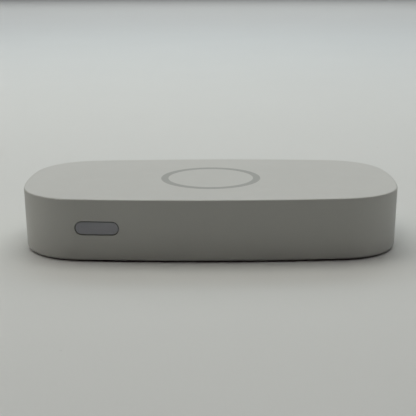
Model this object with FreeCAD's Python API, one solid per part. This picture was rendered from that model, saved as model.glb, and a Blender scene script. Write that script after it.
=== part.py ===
"""A palm-sized streaming media player: a flat plastic casing with rounded ends, a lit window in the front
wall, and two HDMI sockets, a USB-C socket and a small reset button in the rear wall.

Frame, in millimetres: the origin is the centre of the foot's underside, +X runs along the casing, the front
window faces -Y, the sockets face +Y and +Z is up. Each function makes one kind of piece where it belongs."""

import FreeCAD
import Part
import math
import os
from FreeCAD import Vector

# ---- Driving dimensions -------------------------------------------------------------------------------
WIDTH = 112.0
DEPTH = 58.0
HEIGHT = 18.2
SIDE_BOW_RADIUS = 450.0  # plan radius of the long front and rear walls
END_BOW_RADIUS = 80.0  # plan radius of the two short walls
CORNER_RADIUS = 18.5
DRAFT = 0.3  # the walls lean in by this much from the lid down to their lower edge
WALL = 2.0
LID_EDGE_ROUND = 0.4
FOOT_BEVEL_HEIGHT = 0.8
FOOT_BEVEL_INSET = 0.3

SHELL_BOTTOM = 0.5  # the walls end this far above the surface that the foot stands on
COVER_THICKNESS = 1.8
COVER_TOP = SHELL_BOTTOM + COVER_THICKNESS
CEILING = HEIGHT - WALL
BOARD_BOTTOM = 5.0
BOARD_THICKNESS = 1.6
BOARD_TOP = BOARD_BOTTOM + BOARD_THICKNESS
BOARD_INSET = 4.0

COVER_SEAT_INSET = 1.3
COVER_GAP = 0.15
FOOT_OUTER_INSET = 6.0
FOOT_WIDTH = 4.5
FOOT_GROOVE_DEPTH = 0.6

CORNER_BOSS_INSET = FOOT_OUTER_INSET + FOOT_WIDTH / 2
CORNER_BOSS_RADIUS = 3.0
CORNER_PAD_RADIUS = 3.5
CORNER_PAD_TOP = 4.4
CORNER_SEAT = 2.7  # where the heads of the cover screws stop
COVER_SCREW = {"head_radius": 2.0, "head_height": 1.1, "radius": 1.1, "length": 7.0}
BOARD_SCREW = {"head_radius": 1.75, "head_height": 1.2, "radius": 0.9, "length": 6.0}
BOARD_BOSS_RADIUS = 2.5
BOARD_BOSSES = [(-33.0, 11.0), (33.0, 11.0), (-16.0, -20.0), (16.0, -20.0)]
PILOT_CLEARANCE = 0.05

SOCKET_SHEET = 0.3
SOCKET_RECESS = 0.4  # the sockets' mouths stop this far inside the rear wall's face
HDMI_X = 20.0
HDMI_HALF_WIDTH = 7.0
HDMI_HALF_HEIGHT = 2.275
HDMI_LENGTH = 11.2
USB_WIDTH = 8.34
USB_HEIGHT = 2.66
USB_LENGTH = 7.35
PORT_Z = BOARD_TOP + HDMI_HALF_HEIGHT + SOCKET_SHEET  # the HDMI sockets stand on the board

WINDOW_X = -32.0
WINDOW_Z = 9.85
WINDOW_LENGTH = 12.6
WINDOW_HEIGHT = 4.1
WINDOW_GAP = 0.25
WINDOW_RECESS = 0.15

BUTTON_X = 34.0
BUTTON_RADIUS = 2.0
BUTTON_FIT = 0.08  # gap all round the button's cap and round its plunger
BUTTON_TRAVEL = 0.3

SHIELD_LOW = (-24.0, -16.0)
SHIELD_HIGH = (14.0, 6.0)
PROCESSOR_CENTRE = (4.0, -5.0)
HEATSINK_LOW = (-30.0, -15.0)
HEATSINK_HIGH = (20.0, 5.0)
HEATSINK_PINS = [(-27.3, -12.3), (17.3, 2.3)]


# ---- Shapes that several pieces use ---------------------------------------------------------------------
def box(low, high):
    """A block between two opposite corners."""
    size = [b - a for a, b in zip(low, high)]
    return Part.makeBox(size[0], size[1], size[2], Vector(*low))


def chip(centre, size, bottom, height, round_by=0.15):
    """A moulded package standing on a surface, with its upright and upper edges eased."""
    low = (centre[0] - size[0] / 2, centre[1] - size[1] / 2, bottom)
    block = box(low, (low[0] + size[0], low[1] + size[1], bottom + height))
    eased = [e for e in block.Edges if max(v.Z for v in e.Vertexes) > bottom + 1e-6]
    return block.makeFillet(round_by, eased)


def rod(radius, start, end):
    """A cylinder from one point to another."""
    way = Vector(*end) - Vector(*start)
    return Part.makeCylinder(radius, way.Length, Vector(*start), way)


def fuse(shapes):
    """One solid from overlapping or touching shapes."""
    return shapes[0].multiFuse(shapes[1:]).removeSplitter() if len(shapes) > 1 else shapes[0]


def group(shapes):
    """Like pieces that share a node, each still a solid of its own."""
    return Part.makeCompound(shapes)


def turned(profile):
    """A solid of revolution about Z from (radius, height) points."""
    wire = Part.makePolygon([Vector(r, 0, z) for r, z in profile + profile[:1]])
    return Part.Face(wire).revolve(Vector(0, 0, 0), Vector(0, 0, 1), 360)


def ribbon(path, thickness, x, width):
    """A flat strip of sheet bent along a path of (y, z) points, centred on x."""
    points = [Vector(0, y, z) for y, z in path]
    ways = [(b - a).normalize() for a, b in zip(points, points[1:])]
    normals = [Vector(0, -w.z, w.y) for w in ways]
    before = normals[:1] + normals
    after = normals + normals[-1:]
    mitres = [(a + b) * (thickness / 2 / (1 + a.dot(b))) for a, b in zip(before, after)]
    left = [p + m for p, m in zip(points, mitres)]
    right = [p - m for p, m in zip(points, mitres)]
    outline = Part.makePolygon(left + right[::-1] + left[:1])
    outline.translate(Vector(x - width / 2, 0, 0))
    return Part.Face(outline).extrude(Vector(width, 0, 0))


def upright_slot(centre_x, centre_z, length, height, y_from, y_to):
    """A bar with the outline of a lying pill, running along Y."""
    r = height / 2
    half = length / 2 - r
    left, right = centre_x - half, centre_x + half
    corners = [Vector(left, y_from, centre_z - r), Vector(right, y_from, centre_z - r)]
    upper = [Vector(right, y_from, centre_z + r), Vector(left, y_from, centre_z + r)]
    edges = [
        Part.LineSegment(corners[0], corners[1]).toShape(),
        Part.Arc(corners[1], Vector(right + r, y_from, centre_z), upper[0]).toShape(),
        Part.LineSegment(upper[0], upper[1]).toShape(),
        Part.Arc(upper[1], Vector(left - r, y_from, centre_z), corners[0]).toShape(),
    ]
    return Part.Face(Part.Wire(edges)).extrude(Vector(0, y_to - y_from, 0))


def flat_slot(x, y, width, length, z_from, z_to):
    """An upright bar with the plan outline of a pill that lies along Y."""
    r = width / 2
    run = length / 2 - r
    ends = [rod(r, (x, y + end, z_from), (x, y + end, z_to)) for end in (-run, run)]
    return fuse([box((x - r, y - run, z_from), (x + r, y + run, z_to))] + ends)


def upright_edges(shape):
    """The straight edges of a shape that run along Z."""
    return [e for e in shape.Edges if abs(e.tangentAt(e.FirstParameter).z) > 0.9]


# ---- The casing's plan: eight arcs that meet with no kink -------------------------------------------------
SIDE_CENTRE = Vector(0, DEPTH / 2 - SIDE_BOW_RADIUS, 0)
END_CENTRE = Vector(WIDTH / 2 - END_BOW_RADIUS, 0, 0)


def corner_centre():
    """The centre of the corner arc that touches both the side arc and the end arc."""
    from_side = SIDE_BOW_RADIUS - CORNER_RADIUS
    from_end = END_BOW_RADIUS - CORNER_RADIUS
    gap = END_CENTRE - SIDE_CENTRE
    along = (gap.Length**2 + from_side**2 - from_end**2) / (2 * gap.Length)
    across = math.sqrt(from_side**2 - along**2)
    unit = Vector(gap).normalize()
    return SIDE_CENTRE + unit * along + Vector(unit.y, -unit.x, 0) * across


CORNER_CENTRE = corner_centre()
TO_SIDE_JOIN = (CORNER_CENTRE - SIDE_CENTRE).normalize()
TO_END_JOIN = (CORNER_CENTRE - END_CENTRE).normalize()
TO_CORNER = (TO_SIDE_JOIN + TO_END_JOIN).normalize()
CORNER_SIGNS = [(1, 1), (-1, 1), (-1, -1), (1, -1)]


def plan_wire(inset, z):
    """The casing's outline at height z, drawn in all round by inset."""
    end = Vector(WIDTH / 2 - inset, 0, 0)
    end_join = END_CENTRE + TO_END_JOIN * (END_BOW_RADIUS - inset)
    corner = CORNER_CENTRE + TO_CORNER * (CORNER_RADIUS - inset)
    side_join = SIDE_CENTRE + TO_SIDE_JOIN * (SIDE_BOW_RADIUS - inset)
    side = Vector(0, DEPTH / 2 - inset, 0)

    def at(point, sx, sy):
        return Vector(point.x * sx, point.y * sy, z)

    arcs = [(at(end_join, s, -1), at(end, s, 1), at(end_join, s, 1)) for s in (1, -1)]
    arcs += [(at(side_join, 1, s), at(side, 1, s), at(side_join, -1, s)) for s in (1, -1)]
    arcs += [(at(end_join, sx, sy), at(corner, sx, sy), at(side_join, sx, sy)) for sx, sy in CORNER_SIGNS]
    return Part.Wire(Part.__sortEdges__([Part.Arc(*three).toShape() for three in arcs]))


def plan_block(inset, z_from, z_to):
    """An upright block with the casing's outline."""
    return Part.Face(plan_wire(inset, z_from)).extrude(Vector(0, 0, z_to - z_from))


def leaning_block(inset, z_from, z_to):
    """A block whose sides lean in towards the bottom as the casing's walls do."""
    wires = [plan_wire(inset + draft_at(z), z) for z in (z_from, z_to)]
    return Part.makeLoft(wires, True, True)


def draft_at(z):
    """How far the walls have leaned in at height z."""
    return DRAFT * (HEIGHT - z) / (HEIGHT - SHELL_BOTTOM)


def wall_y(x, inset=0.0, z=PORT_Z):
    """Distance from the middle plane to the front or rear wall's face, at x and z."""
    radius = SIDE_BOW_RADIUS - inset - draft_at(z)
    return SIDE_CENTRE.y + math.sqrt(radius**2 - x**2)


def corner_points():
    """Plan positions of the four corner screws, on the middle line of the foot."""
    first = CORNER_CENTRE + TO_CORNER * (CORNER_RADIUS - CORNER_BOSS_INSET)
    return [(first.x * sx, first.y * sy) for sx, sy in CORNER_SIGNS]


def edges_at(shape, z):
    """The edges of a shape that lie wholly at one height."""
    return [e for e in shape.Edges if all(abs(v.Z - z) < 1e-6 for v in e.Vertexes)]


def casing_solid():
    """The casing's outer form, solid right through: its lower edge bevelled and its lid edge rounded."""
    levels = [(FOOT_BEVEL_INSET, SHELL_BOTTOM), (0.0, SHELL_BOTTOM + FOOT_BEVEL_HEIGHT), (0.0, HEIGHT)]
    wires = [plan_wire(inset + draft_at(z), z) for inset, z in levels]
    body = Part.makeLoft(wires, True, True)
    return body.makeFillet(LID_EDGE_ROUND, edges_at(body, HEIGHT)).Solids[0]


def cavity_solid():
    """The space inside the walls and under the lid."""
    space = leaning_block(WALL, SHELL_BOTTOM, CEILING)
    return space.makeFillet(LID_EDGE_ROUND, edges_at(space, CEILING)).Solids[0]


CASING = casing_solid()
CAVITY = cavity_solid()


# ---- Fasteners --------------------------------------------------------------------------------------------
def screw(x, y, seat_z, head_radius, head_height, radius, length):
    """A cross-head screw driven upwards, its head under seat_z and its threaded shank above."""
    pitch, depth, tip = 0.8, 0.22, 0.6
    turns = int((length - tip) / pitch)
    edge = 0.25
    profile = [(0, -head_height), (head_radius - edge, -head_height), (head_radius, -head_height + edge)]
    profile += [(head_radius, 0), (radius - depth, 0)]
    for n in range(turns):
        z = n * pitch
        crest = [(radius - depth, 0.3), (radius, 0.5), (radius - depth, 0.7)]
        profile += [(r, z + part * pitch) for r, part in crest]
    profile += [(radius - depth, length - tip), (0, length)]
    body = turned(profile)
    reach, slot, sink = head_radius * 0.58, 0.28, head_height * 0.6
    recess = fuse(
        [
            box((-reach, -slot, -head_height), (reach, slot, sink - head_height)),
            box((-slot, -reach, -head_height), (slot, reach, sink - head_height)),
        ]
    )
    body = body.cut(recess)
    body.translate(Vector(x, y, seat_z))
    return body


def cover_screws():
    return group([screw(x, y, CORNER_SEAT, **COVER_SCREW) for x, y in corner_points()])


def board_screws():
    return group([screw(x, y, BOARD_BOTTOM, **BOARD_SCREW) for x, y in BOARD_BOSSES])


# ---- Cover hooks: four upright tongues with a nub that snaps into a pocket in the wall --------------------
HOOK_PLACES = [(-14.0, 1), (14.0, 1), (-14.0, -1), (14.0, -1)]
HOOK_WIDTH = 6.0
HOOK_TOP = 5.8
HOOK_INSET = WALL + 0.2
HOOK_THICKNESS = 1.2
NUB_REACH = 0.55
NUB_LOW, NUB_HIGH = 4.3, 5.3


def hook(x, side):
    """One hook, with its nub towards the wall."""
    face = side * (wall_y(x, HOOK_INSET, COVER_TOP) - 0.05)
    back = face - side * HOOK_THICKNESS
    nub = face + side * NUB_REACH
    outline = [(back, COVER_TOP - 0.4), (face, COVER_TOP - 0.4), (face, NUB_LOW), (nub, NUB_LOW + 0.25)]
    outline += [(face, NUB_HIGH), (face - side * 0.3, HOOK_TOP), (back, HOOK_TOP)]
    points = [Vector(x - HOOK_WIDTH / 2, y, z) for y, z in outline]
    return Part.Face(Part.makePolygon(points + points[:1])).extrude(Vector(HOOK_WIDTH, 0, 0))


def hook_pocket(x, side):
    """The pocket for a hook's nub, with room all round."""
    outer = side * (wall_y(x, HOOK_INSET, COVER_TOP) + NUB_REACH + 0.15)
    inner = side * (wall_y(x, HOOK_INSET, COVER_TOP) - 1.0)
    half = HOOK_WIDTH / 2 + 0.4
    low, high = min(outer, inner), max(outer, inner)
    return box((x - half, low, NUB_LOW - 0.2), (x + half, high, NUB_HIGH + 0.4))


# ---- Casing pieces ----------------------------------------------------------------------------------------
def hdmi_wire(x, y, grow):
    """An HDMI opening's outline, its lower corners cut back, grown by the amount given."""
    soft = 0.6
    half_w, half_h = HDMI_HALF_WIDTH - soft, HDMI_HALF_HEIGHT - soft
    shoulder, foot = -0.2, half_w - 1.55
    outline = [(-half_w, half_h), (half_w, half_h), (half_w, shoulder), (foot, -half_h), (-foot, -half_h)]
    outline += [(-half_w, shoulder)]
    points = [Vector(x + px, y, PORT_Z + pz) for px, pz in outline]
    return Part.makePolygon(points + points[:1]).makeOffset2D(soft + grow)


def hdmi_bar(x, y_from, y_to, grow):
    """A bar along Y with an HDMI opening's outline."""
    return Part.Face(hdmi_wire(x, y_from, grow)).extrude(Vector(0, y_to - y_from, 0))


def mouth_y(x, half_width):
    """Where a socket at x ends, just inside the rear wall's face all across its width."""
    return wall_y(abs(x) + half_width) - SOCKET_RECESS


def wall_openings():
    """The openings through the front and rear walls."""
    outside = DEPTH / 2 + 1
    rear_from = DEPTH / 2 - 2 * WALL - 1
    gap = 0.35
    cuts = [hdmi_bar(x, rear_from, outside, SOCKET_SHEET + gap) for x in (-HDMI_X, HDMI_X)]
    usb_grow = 2 * (SOCKET_SHEET + gap)
    cuts.append(upright_slot(0, PORT_Z, USB_WIDTH + usb_grow, USB_HEIGHT + usb_grow, rear_from, outside))
    cuts.append(button_rod(BUTTON_RADIUS + BUTTON_FIT, rear_from, outside))
    cuts.append(upright_slot(WINDOW_X, WINDOW_Z, WINDOW_LENGTH, WINDOW_HEIGHT, -outside, -rear_from))
    return cuts


def corner_boss(x, y):
    """A corner screw boss, with a rib that ties it to the corner of the walls."""
    boss = rod(CORNER_BOSS_RADIUS, (x, y, CORNER_PAD_TOP), (x, y, CEILING + WALL / 2))
    rib = box((0, -0.6, 9.0), (CORNER_BOSS_INSET - WALL / 2, 0.6, CEILING + WALL / 2))
    angle = math.degrees(math.atan2(TO_CORNER.y * math.copysign(1, y), TO_CORNER.x * math.copysign(1, x)))
    rib.rotate(Vector(0, 0, 0), Vector(0, 0, 1), angle)
    rib.translate(Vector(x, y, 0))
    return boss.fuse(rib)


def top_shell():
    """Lid and side walls in one moulding, with its screw bosses and the openings for window and sockets."""
    shell = CASING.cut(CAVITY)
    shell = shell.cut(plan_block(COVER_SEAT_INSET, SHELL_BOTTOM - 1, COVER_TOP))
    bosses = [corner_boss(x, y) for x, y in corner_points()]
    bosses += [rod(BOARD_BOSS_RADIUS, (x, y, BOARD_TOP), (x, y, CEILING + WALL / 2)) for x, y in BOARD_BOSSES]
    shell = shell.fuse(bosses)
    cuts = wall_openings()
    cover_pilot = COVER_SCREW["radius"] + PILOT_CLEARANCE
    board_pilot = BOARD_SCREW["radius"] + PILOT_CLEARANCE
    cover_pilot_top = CORNER_SEAT + COVER_SCREW["length"] + 1
    board_pilot_top = BOARD_BOTTOM + BOARD_SCREW["length"] + 1
    cuts += [rod(cover_pilot, (x, y, COVER_TOP), (x, y, cover_pilot_top)) for x, y in corner_points()]
    cuts += [rod(board_pilot, (x, y, BOARD_BOTTOM), (x, y, board_pilot_top)) for x, y in BOARD_BOSSES]
    cuts += [hook_pocket(x, side) for x, side in HOOK_PLACES]
    return shell.cut(cuts)


LABEL_SIZE = (44.0, 18.0)
LABEL_ROUND = 1.5
LABEL_POCKET = 0.15
LABEL_THICKNESS = 0.1
VENT_WIDTH, VENT_LENGTH, VENT_PITCH, VENTS_A_SIDE = 1.4, 18.0, 3.0, 5
FIRST_VENT_X = 27.5


def label_block(shrink, z_from, z_to):
    """The label's rounded rectangle."""
    half = [s / 2 - shrink for s in LABEL_SIZE]
    block = box((-half[0], -half[1], z_from), (half[0], half[1], z_to))
    return block.makeFillet(LABEL_ROUND, upright_edges(block))


def bottom_cover():
    """The plate that closes the casing from below, with hooks, screw seats, vents and the foot's groove."""
    inset = COVER_SEAT_INSET + COVER_GAP
    plate = plan_block(inset, SHELL_BOTTOM, COVER_TOP)
    plate = plate.makeFillet(0.4, edges_at(plate, SHELL_BOTTOM))
    pads = [rod(CORNER_PAD_RADIUS, (x, y, COVER_TOP - 1), (x, y, CORNER_PAD_TOP)) for x, y in corner_points()]
    plate = plate.fuse(pads + [hook(x, side) for x, side in HOOK_PLACES])
    groove_top = SHELL_BOTTOM + FOOT_GROOVE_DEPTH
    groove = plan_block(FOOT_OUTER_INSET - COVER_GAP, SHELL_BOTTOM, groove_top)
    groove = groove.cut(plan_block(FOOT_OUTER_INSET + FOOT_WIDTH + COVER_GAP, SHELL_BOTTOM, groove_top))
    cuts = [groove, label_block(0, SHELL_BOTTOM, SHELL_BOTTOM + LABEL_POCKET)]
    head_room = COVER_SCREW["head_radius"] + 0.15
    shank_room = COVER_SCREW["radius"] + 0.15
    cuts += [rod(head_room, (x, y, SHELL_BOTTOM), (x, y, CORNER_SEAT)) for x, y in corner_points()]
    cuts += [rod(shank_room, (x, y, SHELL_BOTTOM), (x, y, CORNER_PAD_TOP)) for x, y in corner_points()]
    for side in (-1, 1):
        for n in range(VENTS_A_SIDE):
            x = side * (FIRST_VENT_X + n * VENT_PITCH)
            cuts.append(flat_slot(x, 0, VENT_WIDTH, VENT_LENGTH, SHELL_BOTTOM, COVER_TOP))
    return plate.cut(cuts)


def rating_label():
    """The blank film label in its pocket under the cover."""
    top = SHELL_BOTTOM + LABEL_POCKET
    return label_block(0.2, top - LABEL_THICKNESS, top)


def foot_ring():
    """The rubber foot: one strip that follows the casing's outline, pressed into the cover's groove."""
    top = SHELL_BOTTOM + FOOT_GROOVE_DEPTH
    ring = plan_block(FOOT_OUTER_INSET, 0, top).cut(plan_block(FOOT_OUTER_INSET + FOOT_WIDTH, 0, top))
    return ring.makeFillet(0.35, edges_at(ring, 0))


# ---- Lit window -------------------------------------------------------------------------------------------
FLANGE_BACK = -24.4
FLANGE_LENGTH, FLANGE_HEIGHT = 14.8, 6.5
SEAL_WIDTH = 1.0
SEAL_BACK = -24.0


def front_window():
    """The diffusing window: a plug that fills the slot in the wall, and a flange behind it."""
    length, height = WINDOW_LENGTH - 2 * WINDOW_GAP, WINDOW_HEIGHT - 2 * WINDOW_GAP
    plug = upright_slot(WINDOW_X, WINDOW_Z, length, height, -DEPTH / 2, FLANGE_BACK - 0.4)
    plug = plug.common(leaning_block(WINDOW_RECESS, SHELL_BOTTOM, HEIGHT))
    outer_edges = [e for e in plug.Edges if max(v.Y for v in e.Vertexes) < FLANGE_BACK - 1.5]
    plug = plug.makeFillet(0.15, [e for e in outer_edges if e.Length > 1 and is_rim(e)])
    flange = upright_slot(WINDOW_X, WINDOW_Z, FLANGE_LENGTH, FLANGE_HEIGHT, -DEPTH / 2, FLANGE_BACK)
    return fuse([plug, flange.common(CAVITY)])


def is_rim(edge):
    """True for an edge of the window's outer face, which runs across the wall and not through it."""
    return abs(edge.tangentAt(edge.FirstParameter).y) < 0.5


def light_seal():
    """The black foam ring round the window's flange, pressed against the inside of the wall."""
    hole, ring = [
        upright_slot(WINDOW_X, WINDOW_Z, FLANGE_LENGTH + grow, FLANGE_HEIGHT + grow, -DEPTH / 2, SEAL_BACK)
        for grow in (0.2, 0.2 + 2 * SEAL_WIDTH)
    ]
    return ring.cut(hole).common(CAVITY)


GUIDE_HALF_WIDTH = 5.6
GUIDE_FRONT = FLANGE_BACK + 0.05
LED_FRONT = -21.4
PEG_PLACES = [(WINDOW_X - 3.6, -22.5), (WINDOW_X + 3.6, -22.5)]
PEG_RADIUS = 0.6


def light_guide():
    """The clear wedge that lifts the lamps' light up to the window, on two pegs in the board."""
    back = LED_FRONT - 0.15
    top, foot = WINDOW_Z + WINDOW_HEIGHT / 2, WINDOW_Z - WINDOW_HEIGHT / 2
    outline = [(GUIDE_FRONT, foot), (GUIDE_FRONT, top), (GUIDE_FRONT + 0.9, top), (back, BOARD_TOP + 1.5)]
    outline += [(back, BOARD_TOP), (back - 2.1, BOARD_TOP)]
    points = [Vector(WINDOW_X - GUIDE_HALF_WIDTH, y, z) for y, z in outline]
    wedge = Part.Face(Part.makePolygon(points + points[:1])).extrude(Vector(2 * GUIDE_HALF_WIDTH, 0, 0))
    pegs = [rod(PEG_RADIUS, (x, y, BOARD_BOTTOM + 0.2), (x, y, BOARD_TOP + 0.3)) for x, y in PEG_PLACES]
    return fuse([wedge] + pegs)


def status_lamps():
    """Three side-lit lamps on the board's front edge: a moulded body with a lens facing the guide."""
    lamps = []
    for x in (WINDOW_X - 3.7, WINDOW_X, WINDOW_X + 3.7):
        body = box((x - 1.5, LED_FRONT + 0.3, BOARD_TOP), (x + 1.5, LED_FRONT + 1.3, BOARD_TOP + 1.1))
        lens = box((x - 1.1, LED_FRONT, BOARD_TOP + 0.15), (x + 1.1, LED_FRONT + 0.3, BOARD_TOP + 0.95))
        lamps.append(fuse([body, lens]))
    return group(lamps)


# ---- HDMI sockets -----------------------------------------------------------------------------------------
CONTACT_THICKNESS = 0.15
HDMI_CONTACT_WIDTH = 0.4
HDMI_LEG_BACKS = (5.0, 9.6)  # how far behind the mouth each pair of legs goes through the board
HDMI_BLOCK_DEPTH = 3.2
TONGUE_HALF_WIDTH = 5.9
TONGUE_THICKNESS = 1.2
TONGUE_LIFT = 0.2
TONGUE_TIP = 1.2  # behind the mouth
LEG_BOTTOM = BOARD_BOTTOM - 0.7


def hdmi_mouth():
    return mouth_y(HDMI_X, HDMI_HALF_WIDTH + SOCKET_SHEET)


def shell_legs(x, half_width, leg_ys, top):
    """Four flat legs that go down through the board from the sides of a socket's shell."""
    legs = []
    for side in (-1, 1):
        inner, outer = sorted((x + side * half_width, x + side * (half_width + SOCKET_SHEET)))
        legs += [box((inner, y - 0.5, LEG_BOTTOM), (outer, y + 0.5, top)) for y in leg_ys]
    return legs


def finger_slots(x, y_low, y_high, z_low, z_high, spots):
    """U-shaped cuts that leave a spring finger in a socket's top or bottom sheet."""
    cuts = []
    for spot in spots:
        hole = box((x + spot - 1.1, y_low, z_low), (x + spot + 1.1, y_high, z_high))
        finger = box((x + spot - 0.75, y_low, z_low), (x + spot + 0.75, y_high - 0.45, z_high))
        cuts.append(hole.cut(finger))
    return cuts


def hdmi_shell(x):
    """The folded steel shell, with spring fingers cut in its top and bottom."""
    mouth = hdmi_mouth()
    back = mouth - HDMI_LENGTH
    sleeve = hdmi_bar(x, back, mouth, SOCKET_SHEET).cut(hdmi_bar(x, back, mouth, 0))
    leg_ys = [mouth - far for far in HDMI_LEG_BACKS]
    sleeve = fuse([sleeve] + shell_legs(x, HDMI_HALF_WIDTH, leg_ys, PORT_Z + 1.0))
    y_low, y_high = mouth - 6.4, mouth - 1.6
    upper = finger_slots(x, y_low, y_high, PORT_Z + 2, PORT_Z + 3, (-3.4, 3.4))
    lower = finger_slots(x, y_low, y_high, PORT_Z - 3, PORT_Z - 2, (-2.9, 2.9))
    return sleeve.cut(upper + lower)


def hdmi_contact_paths(x):
    """Each contact as (x, path): ten over the tongue and nine under it, down to feet on the board."""
    mouth = hdmi_mouth()
    back = mouth - HDMI_LENGTH
    tongue = PORT_Z + TONGUE_LIFT
    reach = TONGUE_THICKNESS / 2 + CONTACT_THICKNESS / 2
    foot = BOARD_TOP + CONTACT_THICKNESS / 2
    tip = mouth - TONGUE_TIP - 0.5
    paths = []
    for n in range(10):
        z = tongue + reach
        paths.append((x - 4.5 + n, [(tip, z), (back - 0.7, z), (back - 0.7, foot), (back - 1.7, foot)]))
    for n in range(9):
        z = tongue - reach
        paths.append((x - 4.0 + n, [(tip, z), (back - 0.3, z), (back - 0.3, foot), (back - 1.7, foot)]))
    return paths


def strips(paths, width):
    """One bent strip of contact metal for each (x, path)."""
    return [ribbon(path, CONTACT_THICKNESS, x, width) for x, path in paths]


def hdmi_contacts(x):
    return group(strips(hdmi_contact_paths(x), HDMI_CONTACT_WIDTH))


def hdmi_insulator(x):
    """The black block that fills the shell's back, with the tongue that carries the contacts."""
    mouth = hdmi_mouth()
    back = mouth - HDMI_LENGTH
    block = hdmi_bar(x, back, back + HDMI_BLOCK_DEPTH, -0.02)
    tongue_z = PORT_Z + TONGUE_LIFT
    half = TONGUE_THICKNESS / 2
    low = (x - TONGUE_HALF_WIDTH, back + 1, tongue_z - half)
    high = (x + TONGUE_HALF_WIDTH, mouth - TONGUE_TIP, tongue_z + half)
    tongue = box(low, high)
    tip_edges = [e for e in tongue.Edges if all(abs(v.Y - high[1]) < 1e-6 for v in e.Vertexes)]
    tongue = tongue.makeChamfer(0.25, [e for e in tip_edges if e.Length > 5])
    return fuse([block, tongue]).cut(strips(hdmi_contact_paths(x), HDMI_CONTACT_WIDTH))


# ---- USB-C socket -----------------------------------------------------------------------------------------
USB_CONTACT_WIDTH = 0.25
USB_CONTACT_PITCH = 0.5
USB_CONTACTS_A_ROW = 12
USB_TONGUE_THICKNESS = 0.7
USB_TONGUE_HALF_WIDTH = 3.35
USB_BLOCK_DEPTH = 3.0
USB_LEG_BACKS = (2.4, 5.6)


def usb_mouth():
    return mouth_y(0, USB_WIDTH / 2 + SOCKET_SHEET)


def usb_shell():
    """The seamless pill-shaped steel shell, on four legs."""
    mouth = usb_mouth()
    back = mouth - USB_LENGTH
    grow = 2 * SOCKET_SHEET
    sleeve = upright_slot(0, PORT_Z, USB_WIDTH + grow, USB_HEIGHT + grow, back, mouth)
    hollow = upright_slot(0, PORT_Z, USB_WIDTH, USB_HEIGHT, back, mouth)
    legs = shell_legs(0, USB_WIDTH / 2, [mouth - far for far in USB_LEG_BACKS], PORT_Z)
    return fuse([sleeve] + legs).cut(hollow)


def usb_contact_paths():
    """Each contact as (x, path): a row on each face of the tongue."""
    mouth = usb_mouth()
    back = mouth - USB_LENGTH
    reach = USB_TONGUE_THICKNESS / 2 + CONTACT_THICKNESS / 2
    foot = BOARD_TOP + CONTACT_THICKNESS / 2
    first = -USB_CONTACT_PITCH * (USB_CONTACTS_A_ROW - 1) / 2
    paths = []
    for n in range(USB_CONTACTS_A_ROW):
        x = first + n * USB_CONTACT_PITCH
        for side, behind, end in ((1, 1.2, 2.0), (-1, 0.3, 0.9)):
            z = PORT_Z + side * reach
            path = [(mouth - 1.3, z), (back - behind, z), (back - behind, foot), (back - end, foot)]
            paths.append((x, path))
    return paths


def usb_contacts():
    return group(strips(usb_contact_paths(), USB_CONTACT_WIDTH))


def usb_insulator():
    """The plug at the shell's back with its tongue, and the plinth that lifts the shell off the board."""
    mouth = usb_mouth()
    back = mouth - USB_LENGTH
    block = upright_slot(0, PORT_Z, USB_WIDTH - 0.04, USB_HEIGHT - 0.04, back, back + USB_BLOCK_DEPTH)
    half = USB_TONGUE_THICKNESS / 2
    low = (-USB_TONGUE_HALF_WIDTH, back + 1, PORT_Z - half)
    tongue = box(low, (USB_TONGUE_HALF_WIDTH, mouth - 0.8, PORT_Z + half))
    shell_bottom = PORT_Z - USB_HEIGHT / 2 - SOCKET_SHEET
    plinth = box((-3.6, back - 0.1, BOARD_TOP), (3.6, mouth - 4.0, shell_bottom))
    link = box((-3.6, back - 0.1, BOARD_TOP), (3.6, back, PORT_Z - 0.9))
    return fuse([block, tongue, link, plinth]).cut(strips(usb_contact_paths(), USB_CONTACT_WIDTH))


# ---- Reset button and its switch --------------------------------------------------------------------------
CAP_FRONT = wall_y(BUTTON_X) - 0.2
CAP_BACK = CAP_FRONT - 3.2
CAP_FLANGE_RADIUS = 2.9
CAP_FLANGE_DEPTH = 0.8
PLUNGER_RADIUS = 1.6
SWITCH_FRONT = CAP_BACK - 1.5
SWITCH_DEPTH = 3.4
SWITCH_HALF = 3.0
PLUNGER_BACK = SWITCH_FRONT - 1.2
DOME_HEIGHT = 0.18
DOME_RADIUS = 2.1
DOME_ROOM = DOME_HEIGHT + BUTTON_TRAVEL + 0.3
BRACKET_SHEET = 0.25


def button_rod(radius, y_from, y_to):
    """A cylinder on the button's axis."""
    return rod(radius, (BUTTON_X, y_from, PORT_Z), (BUTTON_X, y_to, PORT_Z))


def reset_button_cap():
    """The button's round cap, kept in the casing by a flange behind the wall."""
    stem = button_rod(BUTTON_RADIUS, CAP_BACK, CAP_FRONT)
    face = [e for e in stem.Edges if all(abs(v.Y - CAP_FRONT) < 1e-6 for v in e.Vertexes) and e.Length > 5]
    stem = stem.makeFillet(0.35, face)
    return fuse([stem, button_rod(CAP_FLANGE_RADIUS, CAP_BACK, CAP_BACK + CAP_FLANGE_DEPTH)])


def reset_switch_plunger():
    """The switch's own plunger, which the cap pushes against its snap dome."""
    return button_rod(PLUNGER_RADIUS, PLUNGER_BACK, CAP_BACK)


def reset_switch_body():
    """The switch's moulded block, bored for the plunger and the dome."""
    low = (BUTTON_X - SWITCH_HALF, SWITCH_FRONT - SWITCH_DEPTH, BOARD_TOP)
    high = (BUTTON_X + SWITCH_HALF, SWITCH_FRONT, PORT_Z + SWITCH_HALF)
    body = box(low, high)
    bore = button_rod(PLUNGER_RADIUS + BUTTON_FIT, PLUNGER_BACK - DOME_ROOM, SWITCH_FRONT)
    room = button_rod(DOME_RADIUS + 0.1, PLUNGER_BACK - DOME_ROOM, PLUNGER_BACK)
    return body.cut([bore, room])


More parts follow.
